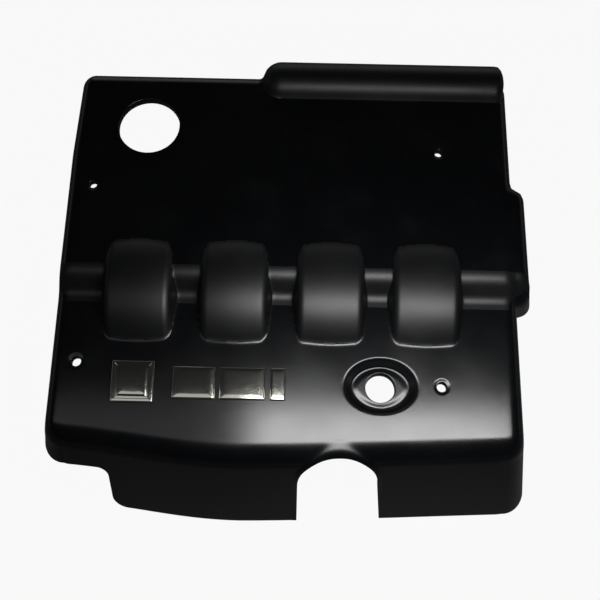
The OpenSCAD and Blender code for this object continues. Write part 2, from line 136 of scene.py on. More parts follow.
# %% Rows of the side view
def side_view(x, fine):
    """Rows (y, z, facing angle, steepness) at a place across the width, from front rim to rear rim."""
    n = 2 if fine else 1
    sweep = float(bow(x))
    lean = math.pi / 2 - SKIRT_LEAN
    y0 = FRONT_Y + sweep
    z_corner = front_top(y0) / (1 - math.tan(SKIRT_LEAN) * math.tan(PLATE_FALL))
    front = arc(np.array([y0 + z_corner * math.tan(SKIRT_LEAN), z_corner]), lean, PLATE_FALL, FRONT_R, 12 * n)
    foot = arc(np.array([STEP_Y, FRONT_Z]), PLATE_FALL, STEP_SLOPE, STEP_FOOT_R, 5 * n + 1)
    top_y = STEP_Y + (REAR_Z - FRONT_Z) / math.tan(STEP_SLOPE)
    crest = arc(np.array([top_y, REAR_Z]), STEP_SLOPE, 0.0, STEP_TOP_R, 5 * n + 1)
    rear = arc(np.array([BACK_Y - REAR_Z * math.tan(REAR_DRAFT), REAR_Z]), 0.0, REAR_DRAFT - math.pi / 2,
               EDGE_R, 13 * n)
    rows = [(y0 + f * (front[0][0] - y0), f * front[0][1], lean) for f in np.linspace(0, 1, 8 * n + 1)[:-1]]
    rows += front
    a, b = front[-1][0], foot[0][0]
    low, high = EYE_Y - EYE_HALF[1] - 2, EYE_Y + EYE_HALF[1] + 2
    plate = np.concatenate([np.linspace(a, low, 7 * n + 1)[1:], np.linspace(low, high, 27 * n + 1)[1:],
                            np.linspace(high, b, 14 * n + 1)[1:-1]])
    rows += [(y, front_top(y), 0.0) for y in plate]
    rows += foot
    rows += [(y, FRONT_Z + (y - STEP_Y) * math.tan(STEP_SLOPE), STEP_SLOPE)
             for y in np.linspace(foot[-1][0], crest[0][0], 2 * n + 2)[1:-1]]
    rows += crest
    flat = np.concatenate([
        np.linspace(crest[-1][0], 30.0, 11 * n + 1)[1:],
        np.linspace(30.0, 180.0, 12 * n + 1)[1:],
        np.linspace(180.0, rear[0][0], 8 * n + 1)[1:-1]])
    rows += [(y, REAR_Z, 0.0) for y in flat]
    rows += rear
    rows += [(BACK_Y - z * math.tan(REAR_DRAFT), z, REAR_DRAFT - math.pi / 2)
             for z in np.linspace(rear[-1][1], 0, 6 * n + 1)[1:]]
    rows = np.array(rows)
    on_top = (rows[:, 0] > front[-1][0]) & (rows[:, 0] < rear[0][0])
    steep = np.where(on_top, np.cos(rows[:, 2]), 1.0)
    facing = np.where(on_top, 0.0, rows[:, 2])
    return np.column_stack([rows[:, 0], rows[:, 1], facing, steep])


def bow(x):
    """How far the skirt sweeps back at a place across the width."""
    left = BOW_LEFT * (1 - np.cos(np.pi * np.clip((BOW_X - x) / (BOW_X - LEFT_X), 0, 1))) / 2
    right = BOW_RIGHT * np.clip((x - BOW_X) / (RIGHT_X - BOW_X), 0, 1) ** 1.3
    return np.where(x < BOW_X, left, right)


print("rows:", len(side_view(0.0, True)))

# %% [markdown]
# ## The side walls as a swing
#
# A moulded edge is the same everywhere, so the side view is swung round each
# side edge, from lying flat to the draft angle of the wall. Drafted walls are
# what lets the moulding slide out of its tool.

# %% Columns across the width
def swing(view, side, columns_wall, columns_arc):
    """Columns of points and facing directions round a side edge, from the rim inward; side is -1 at left."""
    y0, z0, a, steep = view.T
    r = EDGE_R + (CORNER_R - EDGE_R) * np.maximum(0, a) / (math.pi / 2 - SKIRT_LEAN)
    wall_x = LEFT_X if side < 0 else RIGHT_X
    shift = np.maximum(0, y0 - KINK_Y) * math.tan(KINK) if side < 0 else 0 * y0

    def turned_up(t):
        y = y0 + r * np.sin(a) * (1 - math.sin(t))
        z = z0 - r * np.cos(a) * (1 - math.sin(t))
        low = z < 0
        slope = np.where(np.abs(np.tan(a)) < 1e-6, 1e9, np.tan(a))
        return np.where(low, y - z / slope, y), np.maximum(z, 0)

    ends_y, ends_z = turned_up(SIDE_DRAFT)
    centre = ends_z * math.tan(SIDE_DRAFT) + r * math.cos(SIDE_DRAFT)
    points, facing = [], []
    for f in np.linspace(0, 1, columns_wall + 1)[:-1]:
        z = f * ends_z
        points.append(np.column_stack([wall_x + shift - side * z * math.tan(SIDE_DRAFT), ends_y, z]))
        facing.append(np.column_stack([0 * z + side * math.cos(SIDE_DRAFT), 0 * z, 0 * z + math.sin(SIDE_DRAFT)]))
    for t in np.linspace(SIDE_DRAFT, math.pi / 2, columns_arc):
        y, z = turned_up(t)
        points.append(np.column_stack([wall_x + shift - side * (centre - r * math.cos(t)), y, z]))
        facing.append(np.column_stack([0 * y + side * math.cos(t), -math.sin(t) * np.sin(a),
                                       math.sin(t) * np.cos(a)]))
    return np.array(points), np.array(facing)


GAPS_PLAIN, GAPS_BUSY = (2.8, 7.0), (1.3, 3.5)   # between the columns: in the fine grid, in the coarse one
EASE_FROM, EASE_OVER = 60, 75   # near the side edges the columns lean, to meet the swung edge


def across(fine):
    """Places of the columns between the two edges: close together where the flanks of the humps stand."""
    marks = [LEFT_X + 36, RIGHT_X - 34]
    marks += [x + side * w for x in HUMP_X for side in (-1, 1) for w in (HUMP_HALF - 6, HUMP_HALF + 8)]
    marks += [BULGE_LEFT - BULGE_NOSE - 3, BULGE_LEFT - BULGE_NOSE + 6]
    marks += [EYE_X - EYE_HALF[0] - 2, EYE_X + EYE_HALF[0] + 2]
    marks = np.sort(marks)
    marks = marks[np.insert(np.diff(marks) > 1.0, 0, True)]
    places = [marks[0]]
    for a, b in zip(marks[:-1], marks[1:]):
        middle = (a + b) / 2
        busy = any(HUMP_HALF - 4 < abs(middle - x) < HUMP_HALF + 4 for x in HUMP_X)
        busy |= abs(middle - EYE_X) < EYE_HALF[0] or abs(middle - ARCH_X) < ARCH_HALF[0]
        gap = (GAPS_BUSY if busy else GAPS_PLAIN)[0 if fine else 1]
        places += list(np.linspace(a, b, max(1, round((b - a) / gap)) + 1)[1:])
    return np.array(places)


def base_form(fine):
    """The plain moulding as a grid of points, facing directions and steepness, columns by rows."""
    left_view, right_view = side_view(LEFT_X + CORNER_R, fine), side_view(RIGHT_X - CORNER_R, fine)
    n_wall, n_arc = (12, 14) if fine else (6, 7)
    left, left_facing = swing(left_view, -1, n_wall, n_arc)
    right, right_facing = swing(right_view, 1, n_wall, n_arc)
    xs = across(fine)
    middle, middle_facing = [], []
    for x in xs:
        view = side_view(x, fine)
        near_left = np.clip((xs[0] + EASE_FROM - x) / EASE_OVER, 0, 1) ** 1.5
        near_right = np.clip((x - xs[-1] + EASE_FROM) / EASE_OVER, 0, 1) ** 1.5
        pull_left = near_left * (left[-1, :, 0] - (xs[0] - 2.0))
        pull_right = near_right * (right[-1, :, 0] - (xs[-1] + 2.0))
        middle.append(np.column_stack([x + pull_left + pull_right, view[:, 0], view[:, 1]]))
        a = view[:, 2]
        middle_facing.append(np.column_stack([0 * a, -np.sin(a), np.cos(a)]))
    points = np.concatenate([left, np.array(middle), right[::-1]])
    facing = np.concatenate([left_facing, np.array(middle_facing), right_facing[::-1]])
    steep = np.tile(left_view[:, 3], (len(points), 1))
    return points, facing, steep


grid_points, grid_facing, grid_steep = base_form(True)
print("grid of", grid_points.shape[0], "columns and", grid_points.shape[1], "rows")

# %% [markdown]
# ## Raised forms as distances
#
# The humps, the bulge, the lobe and the collar are each described by how far a
# point lies outside them. Two such distances are joined by a smooth minimum, and
# the joint becomes a fillet of a chosen width, as a toolmaker would cut it. The
# skin is then found along each facing direction, from outside inward.


# %% Joining distances with a fillet
def fillet_join(a, b, width):
    h = np.maximum(width - np.abs(a - b), 0) / width
    return np.minimum(a, b) - h * h * width / 4


def fillet_meet(a, b, width):
    return -fillet_join(-a, -b, width)


def hump(p, x):
    """A drum lying across the cover with rounded shoulders and leaning flanks."""
    out = np.hypot(p[..., 1] - HUMP_Y, p[..., 2] - HUMP_Z)
    crown = HUMP_CROWN * np.clip((p[..., 0] - x) / HUMP_HALF, -1.2, 1.2) ** 2
    over = out - (HUMP_R - SHOULDER_R) + crown
    half = HUMP_HALF + (HUMP_R - out) * math.tan(FLANK)
    beside = (np.abs(p[..., 0] - x) - half) * math.cos(FLANK) + SHOULDER_R
    corner = np.hypot(np.maximum(over, 0), np.maximum(beside, 0))
    return corner + np.minimum(np.maximum(over, beside), 0) - SHOULDER_R


def bulge(p):
    """A roll with a round left end and a blunt right end, with its wall going down."""
    x = np.maximum((BULGE_LEFT - p[..., 0]) * BULGE_R / BULGE_NOSE,
                   (p[..., 0] - BULGE_RIGHT) * BULGE_R / BULGE_TAIL)
    up = np.maximum(p[..., 2] - BULGE_Z, 0)
    return np.sqrt(np.maximum(x, 0) ** 2 + (p[..., 1] - BULGE_Y) ** 2 + up ** 2) - BULGE_R


def lobe(p):
    """A roll along the right wall, lower before the step, whose own wall leans out as it goes down."""
    y = np.maximum(np.maximum(LOBE_FRONT - p[..., 1], p[..., 1] - LOBE_REAR), 0)
    lowered = LOBE_DROP / (1 + np.exp((p[..., 1] - LOBE_HIGH_FRONT + LOBE_R) / LOBE_EASE))
    z = p[..., 2] - LOBE_Z + lowered
    x = p[..., 0] - LOBE_X - (lowered + np.maximum(-z, 0)) * math.tan(LOBE_LEAN)
    x = np.maximum(x, -x - LOBE_INWARD)
    out = np.sqrt(np.maximum(x, 0) ** 2 + y ** 2 + np.maximum(z, 0) ** 2)
    return (out - LOBE_R) * math.cos(LOBE_LEAN)


def arch_collar(p, d):
    """A low band round the arch: inside a wider arch, and under a lifted copy of the skin (distance d)."""
    x = np.abs(p[..., 0] - ARCH_X) / (ARCH_HALF[0] + COLLAR_W)
    z = np.maximum(p[..., 2] - ARCH_Z, 0) / (ARCH_HALF[1] + COLLAR_W)
    ring = ((x ** ARCH_SQUARE + z ** ARCH_SQUARE) ** (1 / ARCH_SQUARE) - 1) * ARCH_HALF[1]
    rise = COLLAR_RISE * np.clip((p[..., 2] - ARCH_Z / 3) / COLLAR_FADE, 0, 1)
    return np.maximum(fillet_meet(ring, d - rise, COLLAR_EDGE), p[..., 1] - ARCH_BACK)


def eye_depth(p):
    """Depth of the oval dish: soft lip, steep wall, and a slightly raised lens-shaped floor round the hole."""
    x, y = p[..., 0] - EYE_X, p[..., 1] - EYE_Y
    e = np.hypot(x / EYE_HALF[0], y / EYE_HALF[1])
    from_lip = (1 - e) * np.minimum(*EYE_HALF)
    lens = (np.abs(x / EYE_LENS[0]) ** EYE_ALMOND + np.abs(y / EYE_LENS[1]) ** EYE_ALMOND) ** (1 / EYE_ALMOND)
    wall = np.clip(from_lip / EYE_WALL, 0, 1)
    pad = np.clip((1 - lens) * EYE_LENS[1] / EYE_PAD_EDGE, 0, 1)
    return EYE_DEPTH * wall * wall * (3 - 2 * wall) - EYE_PAD * pad * pad * (3 - 2 * pad)


print("fillets by smooth minimum ready")


# %% Finding the skin
FILLET_HUMP, FILLET_COLLAR, FILLET_BULGE, FILLET_LOBE = 1.8, 1.0, 3.0, 4.0
HIGHEST, LOWEST, HALVINGS = 44, -19, 14   # the search runs from over the forms to under the plate


def skin(points, facing, steep, depth):
    """Points where the joined form lies at a depth under its outer surface, one along each facing direction."""
    def outside(s):
        p = points + s[..., None] * facing
        d = s * steep + eye_depth(points)
        for x in HUMP_X:
            d = fillet_join(d, hump(p, x), FILLET_HUMP)
        d = fillet_join(d, arch_collar(p, d), FILLET_COLLAR)
        d = fillet_join(d, bulge(p), FILLET_BULGE)
        d = fillet_join(d, lobe(p), FILLET_LOBE)
        return d + depth

    far = np.full(points.shape[:2], float(HIGHEST))
    near = far.copy()
    found = np.zeros(points.shape[:2], bool)
    for s in np.arange(HIGHEST - 1.0, LOWEST, -1.0):
        trial = np.full(points.shape[:2], s)
        hit = ~found & (outside(trial) <= 0)
        near[hit] = s
        far[~found & ~hit] = s
        found |= hit
    for _ in range(HALVINGS):
        middle = (near + far) / 2
        inside = outside(middle) <= 0
        near = np.where(inside, middle, near)
        far = np.where(inside, far, middle)
    return points + near[..., None] * facing


def solid_from_grid(name, points):
    """A closed mesh from a grid of skin points, with one flat floor."""
    ni, nj = points.shape[:2]
    verts = points.reshape(-1, 3) * MM
    i, j = np.meshgrid(np.arange(ni - 1), np.arange(nj - 1), indexing="ij")
    a = (i * nj + j).ravel()
    faces = np.column_stack([a, a + 1, a + nj + 1, a + nj]).tolist()
    rim = [k * nj for k in range(ni)] + [(ni - 1) * nj + k for k in range(1, nj)]
    rim += [k * nj + nj - 1 for k in range(ni - 2, -1, -1)] + [k for k in range(nj - 2, 0, -1)]
    faces.append(rim)
    mesh = bpy.data.meshes.new(name)
    mesh.from_pydata(verts.tolist(), [], faces)
    bm = bmesh.new()
    bm.from_mesh(mesh)
    bmesh.ops.remove_doubles(bm, verts=bm.verts, dist=2e-6)
    bmesh.ops.dissolve_degenerate(bm, edges=bm.edges, dist=1e-7)
    bmesh.ops.triangulate(bm, faces=[f for f in bm.faces if len(f.verts) > 4])
    bmesh.ops.recalc_face_normals(bm, faces=bm.faces)
    open_edges = [e for e in bm.edges if len(e.link_faces) != 2]
    bm.to_mesh(mesh)
    bm.free()
    piece = bpy.data.objects.new(name, mesh)
    bpy.context.scene.collection.objects.link(piece)
    print(name, len(mesh.polygons), "faces,", len(open_edges), "open edges")
    return piece


outer = skin(grid_points, grid_facing, grid_steep, 0.0)
shell = solid_from_grid("cover", outer)
coarse = base_form(False)
inner = skin(*coarse, WALL)
hollow = solid_from_grid("hollow", inner)

# %% [markdown]
# ## Holes, collars and rims
#
# A moulded hole has a small rounded lip, never a razor edge, and the lip is what
# catches the light. So each cutter is turned on a lathe with a flare at its top.
# The manifold boolean is used, since every piece here is closed.


# %% Turned and extruded pieces
def turned(name, profile, x, y, z, segments=72, slope=0.0):
    """A closed piece turned from a profile of (radius, height), bottom to top, sheared by a slope."""
    bm = bmesh.new()
    rings = []
    for r, h in profile:
        rings.append([bm.verts.new(((x + r * math.cos(t)) * MM, (y + r * math.sin(t)) * MM,
                                    (z + h + slope * r * math.sin(t)) * MM))
                      for t in np.linspace(0, 2 * math.pi, segments, endpoint=False)])
    for a, b in zip(rings[:-1], rings[1:]):
        for k in range(segments):
            bm.faces.new([a[k], a[(k + 1) % segments], b[(k + 1) % segments], b[k]])
    bm.faces.new(rings[0][::-1])
    bm.faces.new(rings[-1])
    return finish_mesh(name, bm)


def finish_mesh(name, bm):
    bmesh.ops.recalc_face_normals(bm, faces=bm.faces)
    mesh = bpy.data.meshes.new(name)
    bm.to_mesh(mesh)
    bm.free()
    piece = bpy.data.objects.new(name, mesh)
    bpy.context.scene.collection.objects.link(piece)
    return piece


def extruded(name, outline, start, length, place):
    """A closed piece from an outline: place turns (u, v, w) into x, y, z in millimetres."""
    bm = bmesh.new()
    ends = [[bm.verts.new([c * MM for c in place(u, v, w)]) for u, v in outline] for w in (start, start + length)]
    n = len(outline)
    for k in range(n):
        bm.faces.new([ends[0][k], ends[0][(k + 1) % n], ends[1][(k + 1) % n], ends[1][k]])
    bm.faces.new(ends[0][::-1])
    bm.faces.new(ends[1])
    return finish_mesh(name, bm)


def combine(target, operation, tools):
    """Applies tools to a target one after another, and removes them."""
    for tool in tools:
        step = target.modifiers.new(operation, "BOOLEAN")
        step.operation, step.solver, step.object = operation, "MANIFOLD", tool
        graph = bpy.context.evaluated_depsgraph_get()
        result = bpy.data.meshes.new_from_object(target.evaluated_get(graph))
        target.modifiers.clear()
        target.data = result
        bpy.data.objects.remove(tool)
    print(target.name, operation.lower(), len(target.data.polygons), "faces")


def lip(radius, flare, steps=5):
    """Profile points of a rounded lip that opens by a flare at height 0."""
    return [(radius + flare * (1 - math.cos(t)), flare * (math.sin(t) - 1))
            for t in np.linspace(0, math.pi / 2, steps)]


combine(shell, "DIFFERENCE", [hollow])

# %% [markdown]
# ### What hangs under the plates
#
# Tubes guide the studs that hold the cover, collars stiffen the two large holes,
# and ribs keep the thin plate from drumming. They are overlapped with the wall
# by half its thickness, so that they join into one skin.

# %% Tubes, collars and ribs
FIXINGS = [(-204.5, -91.0, 9.5), (138.5, -108.5, 9.5), (-200.5, 83.0, 8.0), (139.0, 125.0, 8.0)]
SEAT_D, SEAT_DEPTH, TUBE_D, TUBE_DEPTH = 17.0, 0.8, 20.0, 9.0
FILLER_X, FILLER_Y, FILLER_D, FILLER_DEPTH = -150.5, 149.5, 61.0, 9.0
DIP_D, DIP_DEPTH = 28.0, 6.0
RIB_T, RIB_DEPTH, RIB_COUNT = 2.0, 8.0, 3
RIB_FROM_STEP, RIB_FROM_FILLER, CROSS_RIB_IN = 40, 15, 60
CHAMFER = 0.6        # at the lower ends of the tubes
OVERLAP = 0.01       # keeps crossing ribs from sharing a face


def top_at(y):
    """Height of the plates at y."""
    return front_top(y) if y < STEP_Y else REAR_Z


def slope_at(y):
    """How steeply the plates rise to the rear at y, so that a cutter can follow them."""
    return math.tan(PLATE_FALL) if y < STEP_Y else 0.0


def box_between(name, low, high):
    outline = [(low[0], low[1]), (high[0], low[1]), (high[0], high[1]), (low[0], high[1])]
    return extruded(name, outline, low[2], high[2] - low[2], lambda u, v, w: (u, v, w))


under = []
for x, y, bore in FIXINGS:
    under.append(turned("tube", [(TUBE_D / 2 - CHAMFER, -TUBE_DEPTH), (TUBE_D / 2, -TUBE_DEPTH + CHAMFER),
                                 (TUBE_D / 2, -WALL / 2)], x, y, top_at(y), 48))
collar_r = FILLER_D / 2 + WALL
under.append(turned("collar", [(collar_r - CHAMFER, -FILLER_DEPTH), (collar_r, -FILLER_DEPTH + CHAMFER),
                               (collar_r, -WALL / 2)], FILLER_X, FILLER_Y, REAR_Z))
eye_floor = front_top(EYE_Y) - EYE_DEPTH + EYE_PAD
under.append(turned("dip_collar", [(DIP_D / 2 + WALL, -WALL - DIP_DEPTH), (DIP_D / 2 + WALL, -WALL / 2)],
                    EYE_X, EYE_Y, eye_floor))
rib_start = STEP_Y + (REAR_Z - FRONT_Z) / math.tan(STEP_SLOPE) + RIB_FROM_STEP
rib_end = FILLER_Y - FILLER_D / 2 - RIB_FROM_FILLER
for k in range(1, RIB_COUNT + 1):
    x = LEFT_X + k * COVER_W / (RIB_COUNT + 1)
    under.append(box_between("rib", (x - RIB_T / 2, rib_start, REAR_Z - WALL - RIB_DEPTH),
                             (x + RIB_T / 2, rib_end, REAR_Z - WALL / 2)))
under.append(box_between("cross_rib", (LEFT_X + CROSS_RIB_IN, rib_start, REAR_Z - WALL - RIB_DEPTH + OVERLAP),
                         (LEFT_X + COVER_W - CROSS_RIB_IN, rib_start + RIB_T, REAR_Z - WALL / 2 - OVERLAP)))
combine(shell, "UNION", under)

# %% [markdown]
# ### Cutting the holes and the rims
#
# Each stud hole sits in a shallow dish, so that a nut or a cap can sink into it. On
# the front plate the cutters are sheared by its slope, which keeps every lip even all
# round. The rim is cut away where hoses and brackets pass under the real cover.

# %% Holes
LIP_BORE, LIP_FILLER, LIP_EYE = 0.5, 1.2, 0.8
cuts = []
for x, y, bore in FIXINGS:
    low_lip = [(r, h - SEAT_DEPTH) for r, h in lip(bore / 2, LIP_BORE)]
    cuts.append(turned("bore", [(bore / 2, -TUBE_DEPTH - 2), *low_lip, (bore / 2 + LIP_BORE, 1)],
                       x, y, top_at(y), 64, slope_at(y)))
    dish = [(bore / 2 + f * (SEAT_D - bore) / 2, -SEAT_DEPTH * (1 + math.cos(math.pi * f)) / 2)
            for f in np.linspace(0, 1, 11)]
    cuts.append(turned("seat", [*dish, (SEAT_D / 2 + 0.1, 3)], x, y, top_at(y), 64, slope_at(y)))
cuts.append(turned("filler", [(FILLER_D / 2, -FILLER_DEPTH - 2), *lip(FILLER_D / 2, LIP_FILLER, 7),
                              (FILLER_D / 2 + LIP_FILLER, 3)], FILLER_X, FILLER_Y, REAR_Z, 128))
cuts.append(turned("dip", [(DIP_D / 2, -WALL - DIP_DEPTH - 2), *lip(DIP_D / 2, LIP_EYE),
                           (DIP_D / 2 + LIP_EYE, 12)], EYE_X, EYE_Y, eye_floor, 96, slope_at(EYE_Y)))
combine(shell, "DIFFERENCE", cuts)

# %% Arch, rims and rear notches
NOTCH_X, NOTCH_R, TOE_R, REAR_LEG = -173.5, 10.0, 14.0, 50.0
SLOT_X, SLOT_W, SLOT_HIGH = (-108.5, -42.5), 2.0, 2.5   # two small slots in the rear edge


def arc_points(x, y, r, a0, a1, count=12):
    return [(x + r * math.cos(math.radians(a)), y + r * math.sin(math.radians(a)))
            for a in np.linspace(a0, a1, count)]


def along_y(u, v, w):
    return (u, w, v)


def arch_point(t):
    c, d = math.cos(t), math.sin(t)
    return (ARCH_X + ARCH_HALF[0] * math.copysign(abs(c) ** (2 / ARCH_SQUARE), c),
            ARCH_Z + ARCH_HALF[1] * d ** (2 / ARCH_SQUARE))


arch = [arch_point(t) for t in np.linspace(math.pi, 0, 61)]
arch += [(ARCH_X + ARCH_HALF[0] + ARCH_LEAN, -5), (ARCH_X - ARCH_HALF[0], -5)]
left_rim = [(LEFT_X - 5, -5), (NOTCH_X + TOE_R, -5)] + arc_points(NOTCH_X + TOE_R, TOE_R, TOE_R, -90, -180)
left_rim += arc_points(NOTCH_X - NOTCH_R, SIDE_RIM_Z - NOTCH_R, NOTCH_R, 0, 90) + [(LEFT_X - 5, SIDE_RIM_Z)]
rear_rim_end = BULGE_LEFT - BULGE_NOSE - EDGE_R
rims = [
    extruded("arch_cut", arch, -COVER_L, COVER_L + ARCH_BACK, along_y),
    extruded("left_rim_cut", left_rim, -COVER_L, 2 * COVER_L, along_y),
    box_between("rear_rim_cut", (LEFT_X - 5, BACK_Y - 2 * EDGE_R, -5),
                (rear_rim_end, BACK_Y + 2 * EDGE_R, SIDE_RIM_Z)),
    box_between("right_rim_cut", (RIGHT_X - CORNER_R - WALL, -COVER_L / 4, -5),
                (COVER_W, COVER_L / 2 - REAR_LEG, SIDE_RIM_Z)),
]
for x in SLOT_X:
    rims.append(box_between("rear_notch", (x - SLOT_W / 2, BACK_Y - EDGE_R, REAR_Z - SLOT_HIGH),
                            (x + SLOT_W / 2, BACK_Y, REAR_Z + SLOT_HIGH)))
combine(shell, "DIFFERENCE", rims)

# %% [markdown]
# ### Pockets for the plated trim
#
# The plated pieces are bonded into shallow pockets with a small gap all round.

# %% Trim pockets
TRIM_Y, TRIM_T, POCKET_DEPTH, POCKET_GAP = -109.5, 3.0, 1.0, 0.5
BADGE_X, BADGE_W = -150.0, 40.0
BAR_X, BAR_W, BAR_H = (-93.0, -47.5, -14.5), (40.0, 42.0, 14.0), 31.0


def on_front_plate(x0):
    """Places a point given from the middle of a trim piece, on the slope of the front plate."""
    c, s = math.cos(PLATE_FALL), math.sin(PLATE_FALL)
    return lambda u, v, w: (x0 + u, TRIM_Y + v * c - w * s, front_top(TRIM_Y) + v * s + w * c)


def rounded_outline(w, h, r, count=5):
    points = []
    for cx, cy, a in ((w / 2 - r, h / 2 - r, 0), (-w / 2 + r, h / 2 - r, 90), (-w / 2 + r, -h / 2 + r, 180),
                      (w / 2 - r, -h / 2 + r, 270)):
        points += arc_points(cx, cy, r, a, a + 90, count)
    return points


pockets = []
for x, w, h in [(BADGE_X, BADGE_W, BADGE_W)] + [(x, w, BAR_H) for x, w in zip(BAR_X, BAR_W)]:
    pockets.append(extruded("pocket", rounded_outline(w + 2 * POCKET_GAP, h + 2 * POCKET_GAP, 0.8), -POCKET_DEPTH,
                            POCKET_DEPTH + 2, on_front_plate(x)))
combine(shell, "DIFFERENCE", pockets)


# %% Smooth skin with crisp rims
def shade(piece, angle=32):
    """Smooth shading that stops at edges sharper than an angle in degrees."""
    bm = bmesh.new()
    bm.from_mesh(piece.data)
    bmesh.ops.remove_doubles(bm, verts=bm.verts, dist=1e-6)
    for f in bm.faces:
        f.smooth = True
    for e in bm.edges:
        e.smooth = len(e.link_faces) == 2 and e.calc_face_angle(0) < math.radians(angle)
    open_edges = sum(len(e.link_faces) != 2 for e in bm.edges)
    bm.to_mesh(piece.data)
    bm.free()
    triangles = sum(len(f.vertices) - 2 for f in piece.data.polygons)
    print(piece.name, triangles, "triangles,", open_edges, "open edges")


shade(shell)
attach(shell, "root")
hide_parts("cover_shell")

# %% [markdown]
# ## The plated pieces
#
# Each one is a thin block with a flat top and a rounded bevel, built as stacked
# outlines that shrink towards the top. A slight crown on the top keeps the
# reflections from being dead flat, as on real plated mouldings.


# %% Plated blocks
def plated_block(name, x, w, h, steps, crown):
    """A closed block from rounded outlines: steps are (inset, height, corner radius) from the bottom up."""
    place = on_front_plate(x)
    bm = bmesh.new()
    rings = []
    for inset, height, r in steps:
        outline = rounded_outline(w - 2 * inset, h - 2 * inset, max(r, 0.15), 6)
        rings.append([bm.verts.new([c * MM for c in place(u, v, height)]) for u, v in outline])
    inner = steps[-1][0]
    for f in (0.75, 0.5, 0.25):
        height = steps[-1][1] + crown * (1 - f * f)
        outline = rounded_outline((w - 2 * inner) * f, (h - 2 * inner) * f, 0.15, 6)
        rings.append([bm.verts.new([c * MM for c in place(u, v, height)]) for u, v in outline])
    n = len(rings[0])
    for a, b in zip(rings[:-1], rings[1:]):
        for k in range(n):
            bm.faces.new([a[k], a[(k + 1) % n], b[(k + 1) % n], b[k]])
    bm.faces.new(rings[0][::-1])
    bm.faces.new(rings[-1])
    piece = finish_mesh(name, bm)
    shade(piece, 40)
    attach(piece, "root")
    return piece


TOP = TRIM_T - POCKET_DEPTH
block_steps = [(0.15, -POCKET_DEPTH, 0.8), (0, -POCKET_DEPTH + 0.15, 0.9), (0, TOP - 1.15, 0.9),
               (0.1, TOP - 0.9, 0.85), (1.05, TOP - 0.16, 0.5), (1.3, TOP - 0.08, 0.4)]
square_steps = block_steps + [(3.2, TOP - 0.06, 0.4), (3.7, TOP - 0.55, 0.35), (6.8, TOP - 0.6, 0.35),
                              (7.3, TOP - 0.2, 0.3), (8.0, TOP - 0.12, 0.3)]
badge = plated_block("plated_square", BADGE_X, BADGE_W, BADGE_W, square_steps, 0.1)
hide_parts("badge_plate")
blocks = [plated_block("plated_" + side, x, w, BAR_H, block_steps, 0.08)
          for side, x, w in zip(("left", "middle", "right"), BAR_X, BAR_W)]
for piece, node in zip(blocks, ("trim_block_left", "trim_block_middle", "trim_block_right")):
    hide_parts(node)

# %% [markdown]
# ## Materials
#
# Colours are written as sRGB hex, the way a paint chart gives them, and turned to
# the linear values that a renderer adds up.


# %% Helpers for materials
def srgb(code):
    """Linear colour from an sRGB hex code."""
    parts = [int(code[k:k + 2], 16) / 255 for k in (1, 3, 5)]
    return [c / 12.92 if c <= 0.04045 else ((c + 0.055) / 1.055) ** 2.4 for c in parts] + [1.0]


def add_node(tree, kind, links=(), **settings):
    """Adds a node. Settings name its properties or its input sockets; links are (input socket, output socket)."""
    node = tree.nodes.new(kind)
    for name, value in settings.items():
        socket = name.replace("_", " ")
        if hasattr(node, name):
            setattr(node, name, value)
        else:
            node.inputs[socket].default_value = value
    for into, out in links:
        tree.links.new(node.inputs[into], out)
    return node


def new_material(name):
    material = bpy.data.materials.new(name)
    material.use_nodes = True
    tree = material.node_tree
    tree.nodes.clear()
    return material, tree


print("black at #07080a is", [round(c, 4) for c in srgb("#07080a")[:3]])

# %% [markdown]
# ### Moulded glass-filled nylon
#
# Covers like this are injection moulded from black glass-filled nylon. The tool
# is spark eroded. Its finish is finer on the plates, which get a satin sheen, and
# coarser on the humps, the bulge and the step, which look matt. Nylon's index of
# refraction is about 1.53. Dust and rub marks make it a little greyer and duller in
# patches.

# %% Black nylon
GRAIN_MM = 1.1   # real grain is about 0.2 mm; drawn coarser so that it shows at this size
CLOUD_MM = 60.0  # patches of dust


def moulded_nylon(name, smooth, dull, grain_mm, relief):
    """Black nylon whose roughness runs from smooth to dull in patches, under grain of a size and relief."""
    material, tree = new_material(name)
    place = add_node(tree, "ShaderNodeTexCoord").outputs["Object"]
    grain = add_node(tree, "ShaderNodeTexNoise", [("Vector", place)], Scale=1 / (grain_mm * MM), Detail=3.0,
                     Roughness=0.6)
    cloud = add_node(tree, "ShaderNodeTexNoise", [("Vector", place)], Scale=1 / (CLOUD_MM * MM), Detail=5.0,
                     Roughness=0.62)
    dust = add_node(tree, "ShaderNodeMapRange", [("Value", cloud.outputs["Fac"])], From_Min=0.48, From_Max=0.78,
                    To_Min=0.0, To_Max=1.0)
    colour = add_node(tree, "ShaderNodeMix", [("Factor", dust.outputs["Result"])], data_type="RGBA")
    colour.inputs["A"].default_value = srgb("#07080a")
    colour.inputs["B"].default_value = srgb("#0f1011")
    rough = add_node(tree, "ShaderNodeMapRange", [("Value", cloud.outputs["Fac"])], From_Min=0.3, From_Max=0.7,
                     To_Min=smooth, To_Max=dull)
    bump = add_node(tree, "ShaderNodeBump", [("Height", grain.outputs["Fac"])], Strength=relief, Distance=0.00025)
    surface = add_node(tree, "ShaderNodeBsdfPrincipled", [("Base Color", colour.outputs["Result"]),
                                                          ("Roughness", rough.outputs["Result"]),
                                                          ("Normal", bump.outputs["Normal"])], IOR=1.53)
    add_node(tree, "ShaderNodeOutputMaterial", [("Surface", surface.outputs["BSDF"])])
    return material


